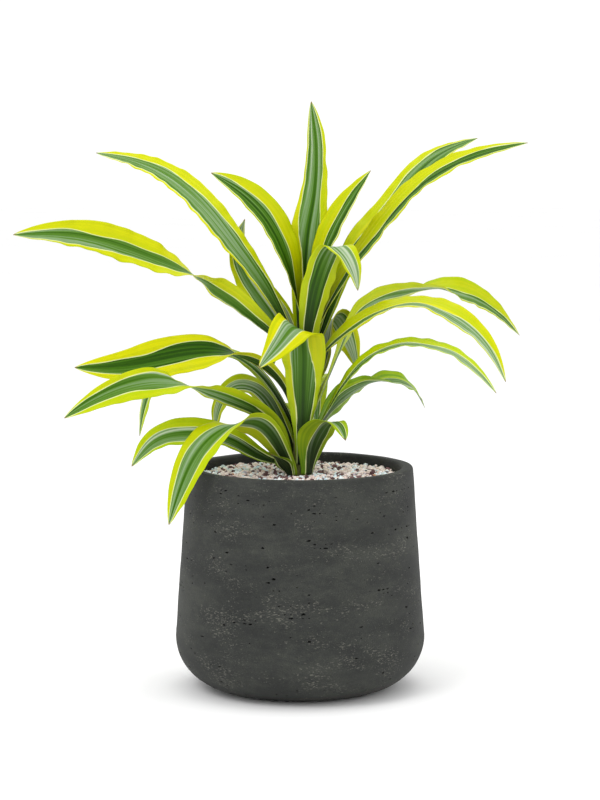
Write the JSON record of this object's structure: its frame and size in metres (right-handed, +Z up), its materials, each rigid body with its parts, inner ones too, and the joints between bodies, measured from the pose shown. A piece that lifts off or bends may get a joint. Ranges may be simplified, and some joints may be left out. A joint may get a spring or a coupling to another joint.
{
  "type": "potted dracaena",
  "caption": "Potted dracaena: arching strap leaves with lime margins on a short cane, in a round dark cement planter topped with mineral granulate.",
  "frame": {"origin": "centre of the planter's flat base, on the surface it stands on", "axes": "+Z up along the planter's axis; -Y is the plant's front; +X is to the right seen from the front"},
  "size_m": [0.4655, 0.3196, 0.5381],
  "materials": {
    "planter": "matt fibre cement, fine pores",
    "potting_soil": "damp potting soil",
    "granulate": "loose mineral grains, cream, white, pale blue and maroon",
    "cane": "pale bark with leaf scars",
    "leaf": "satin leaf, green centre, lime margins with a cream line"
  },
  "bodies": {
    "root": {"planter": "planter", "potting_soil": "potting_soil", "granulate": "granulate", "cane": "cane", "leaf_basal_back": "leaf", "leaf_basal_left": "leaf", "leaf_basal_left_front": "leaf", "leaf_basal_right_front": "leaf", "leaf_basal_short": "leaf", "leaf_crown_centre": "leaf", "leaf_crown_left_arch": "leaf", "leaf_crown_right": "leaf", "leaf_crown_right_back": "leaf", "leaf_front_fold": "leaf", "leaf_hanging_left": "leaf", "leaf_lower_back": "leaf", "leaf_lower_left_back": "leaf", "leaf_lower_left_long": "leaf", "leaf_lower_right": "leaf", "leaf_lower_right_thin": "leaf", "leaf_middle_back": "leaf", "leaf_middle_left_blade": "leaf", "leaf_middle_right_arch": "leaf", "leaf_middle_right_back": "leaf", "leaf_middle_right_low_arch": "leaf", "leaf_upper_back": "leaf", "leaf_upper_front_fold": "leaf", "leaf_upper_left_back": "leaf", "leaf_upper_left_long": "leaf", "leaf_upper_left_twist": "leaf", "leaf_upper_right_first": "leaf", "leaf_upper_right_second": "leaf"}
  },
  "joints": []
}
